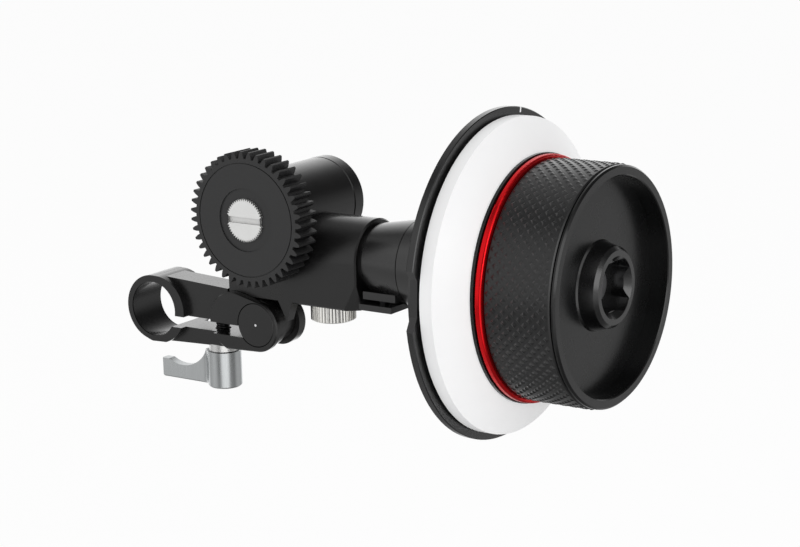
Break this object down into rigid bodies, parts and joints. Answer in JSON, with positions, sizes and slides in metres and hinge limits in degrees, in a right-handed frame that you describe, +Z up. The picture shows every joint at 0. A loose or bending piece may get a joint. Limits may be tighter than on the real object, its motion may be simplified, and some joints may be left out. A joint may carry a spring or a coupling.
{
  "type": "follow focus unit",
  "caption": "Follow focus for a single 15 mm rod: hinged rod clamp, right-angle gearbox with a drive gear, and a handwheel with a marking disc and an index ring.",
  "frame": {"origin": "centre of the rod bore, midway along the clamp", "axes": "+X from the rod towards the handwheel, +Y along the rod away from the drive gear's side, +Z up"},
  "size_m": [0.1463, 0.0835, 0.084],
  "materials": {
    "black_anodised": "satin black anodised",
    "wheel_black": "satin black anodised, turned",
    "grip_black": "fine diamond knurl, black anodised",
    "hub_gloss": "gloss black",
    "gear_black": "moulded black acetal",
    "gear_screw_silver": "bead-blasted silver",
    "thumbscrew_silver": "ribbed silver",
    "lever_silver": "satin grey",
    "steel": "machined",
    "bearing_steel": "ground",
    "brass_washer": "plain",
    "magnet_plating": "nickel plated",
    "pad_plastic": "plain",
    "disc_white": "satin white, to be written on",
    "red_anodised": "gloss red anodised"
  },
  "bodies": {
    "clamp": {"rod_clamp": "black_anodised", "clamp_thread_insert": "steel", "lever_spacer": "steel", "pivot_friction_washers": "brass_washer"},
    "lever": {"clamp_lever": "lever_silver", "clamp_screw": "steel", "lever_end_screw": "steel"},
    "unit": {"gearbox_housing": "black_anodised", "housing_end_cap": "black_anodised", "barrel_rear_cap": "black_anodised", "rear_cap_screws": "steel", "brake_pad": "pad_plastic", "pivot_pin": "black_anodised", "pivot_retaining_washer": "steel", "pivot_retaining_screw": "steel", "index_clamp_collar": "black_anodised", "collar_clamp_screw": "steel", "collar_grub_screw": "steel", "gear_bearing_front": "bearing_steel", "gear_bearing_rear": "bearing_steel", "wheel_bearing_left": "bearing_steel", "wheel_bearing_right": "bearing_steel"},
    "gear": {"drive_gear": "gear_black", "gear_screw": "gear_screw_silver", "gear_shaft": "steel", "gear_drive_pins": "steel", "gear_shaft_pinion": "steel", "gear_shaft_clip": "steel"},
    "wheel": {"handwheel_core": "wheel_black", "grip_sleeve": "grip_black", "front_bezel": "wheel_black", "hub_socket": "hub_gloss", "hub_socket_screws": "steel", "wheel_screw": "steel", "marking_disc": "disc_white", "disc_magnets": "magnet_plating", "red_ring": "red_anodised", "wheel_shaft": "steel", "wheel_shaft_pinion": "steel", "wheel_shaft_spacer": "steel", "wheel_shaft_clip": "steel"},
    "index": {"index_carrier": "black_anodised", "index_ring": "black_anodised", "index_ring_screws": "steel", "index_carrier_bearing": "bearing_steel"},
    "lock": {"lock_thumbscrew": "thumbscrew_silver"}
  },
  "joints": [
    {"name": "lever_turn", "type": "hinge", "parent": "clamp", "child": "lever", "pos_m": [0.0194, 0, 0], "axis": [0, 0, 1], "range_deg": [0, 150]},
    {"name": "unit_swing", "type": "hinge", "parent": "clamp", "child": "unit", "pos_m": [0.0352, 0, -0.0004], "axis": [0, 1, 0], "range_deg": [0, 90]},
    {"name": "wheel_turn", "type": "hinge", "parent": "unit", "child": "wheel", "pos_m": [0.0382, 0.00645, 0.0188], "axis": [1, 0, 0], "continuous": true},
    {"name": "gear_turn", "type": "hinge", "parent": "unit", "child": "gear", "pos_m": [0.0382, 0.00645, 0.0295], "axis": [0, 1, 0], "continuous": true},
    {"name": "index_turn", "type": "hinge", "parent": "unit", "child": "index", "pos_m": [0.0677, 0.00645, 0.0188], "axis": [1, 0, 0], "continuous": true},
    {"name": "lock_turn", "type": "hinge", "parent": "unit", "child": "lock", "pos_m": [0.0519, 0.00645, 0.003], "axis": [0, 0, 1], "continuous": true}
  ],
  "couplings": [
    {"joint": "gear_turn", "follows": "wheel_turn", "ratio": 1}
  ]
}
